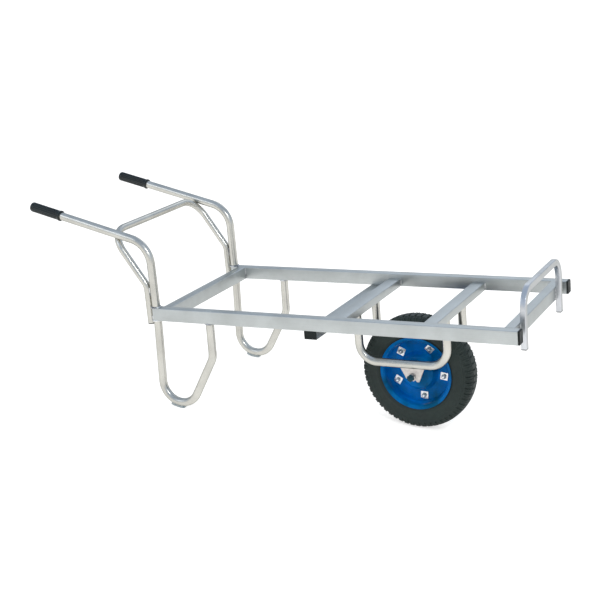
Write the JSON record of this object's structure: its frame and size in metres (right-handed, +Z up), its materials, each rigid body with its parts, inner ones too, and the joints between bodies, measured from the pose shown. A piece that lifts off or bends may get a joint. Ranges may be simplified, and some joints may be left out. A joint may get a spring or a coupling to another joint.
{
  "type": "harvest trolley",
  "caption": "One-wheel harvest trolley with a flat aluminium rail bed, bent tube handles that carry on into loop legs, hoops front and rear and an air-tyred wheel in tube brackets.",
  "frame": {"origin": "centre of the bounding box at floor level, under the bed", "axes": "+X to the front, away from the handles; Y across; +Z up from the floor"},
  "size_m": [1.6268, 0.526, 0.5941],
  "materials": {
    "aluminium_plate": "sheared plate, satin",
    "aluminium_tube": "bare drawn tube, semi-bright",
    "bearing_steel": "ground",
    "black_plastic": "matt moulded",
    "blue_enamel": "gloss enamel",
    "brass_stem": "turned",
    "dark_steel": "dark blue passivated steel, satin",
    "extruded_aluminium": "mill finish with fine lines along the extrusion",
    "grip_rubber": "matt with fine grooves",
    "inner_tube_rubber": "matt",
    "seal_rubber": "matt",
    "tyre_rubber": "matt moulded rubber",
    "weld_bead": "rippled bare weld",
    "zinc_steel": "bright zinc plate"
  },
  "bodies": {
    "frame": {"axle": "zinc_steel", "axle_lock_nuts": "zinc_steel", "axle_nuts": "dark_steel", "axle_plate_left": "aluminium_plate", "axle_plate_right": "aluminium_plate", "axle_spacers": "zinc_steel", "axle_washers": "zinc_steel", "bearing_inner_left": "bearing_steel", "bearing_inner_right": "bearing_steel", "bracket_welds_left": "weld_bead", "bracket_welds_right": "weld_bead", "front_crossmember": "extruded_aluminium", "front_hoop": "aluminium_tube", "front_hoop_cap_left": "black_plastic", "front_hoop_cap_right": "black_plastic", "grip_left": "grip_rubber", "grip_right": "grip_rubber", "handle_leg_tube_left": "aluminium_tube", "handle_leg_tube_right": "aluminium_tube", "hub_spacer": "zinc_steel", "leg_shoe_left": "aluminium_plate", "leg_shoe_right": "aluminium_plate", "leg_welds_left": "weld_bead", "leg_welds_right": "weld_bead", "rail_cap_front_left": "black_plastic", "rail_cap_front_right": "black_plastic", "rear_crossmember": "extruded_aluminium", "rear_hoop": "aluminium_tube", "rear_hoop_cap_left": "black_plastic", "rear_hoop_cap_right": "black_plastic", "side_rail_left": "extruded_aluminium", "side_rail_right": "extruded_aluminium", "under_tube": "extruded_aluminium", "under_tube_plug_left": "black_plastic", "under_tube_plug_right": "black_plastic", "wheel_bearer_front": "extruded_aluminium", "wheel_bearer_rear": "extruded_aluminium", "wheel_bracket_left": "aluminium_tube", "wheel_bracket_right": "aluminium_tube"},
    "wheel": {"bearing_balls": "bearing_steel", "bearing_outer_left": "bearing_steel", "bearing_outer_right": "bearing_steel", "bearing_seal_left": "seal_rubber", "bearing_seal_right": "seal_rubber", "inner_tube": "inner_tube_rubber", "rim_bolts": "zinc_steel", "rim_half_left": "blue_enamel", "rim_half_right": "blue_enamel", "rim_nuts": "zinc_steel", "square_washers": "zinc_steel", "tyre": "tyre_rubber", "valve_cap": "black_plastic", "valve_stem": "brass_stem"}
  },
  "joints": [
    {"name": "wheel_spin", "type": "hinge", "parent": "frame", "child": "wheel", "pos_m": [0.43777, 0, 0.178], "axis": [0, 1, 0], "continuous": true}
  ]
}
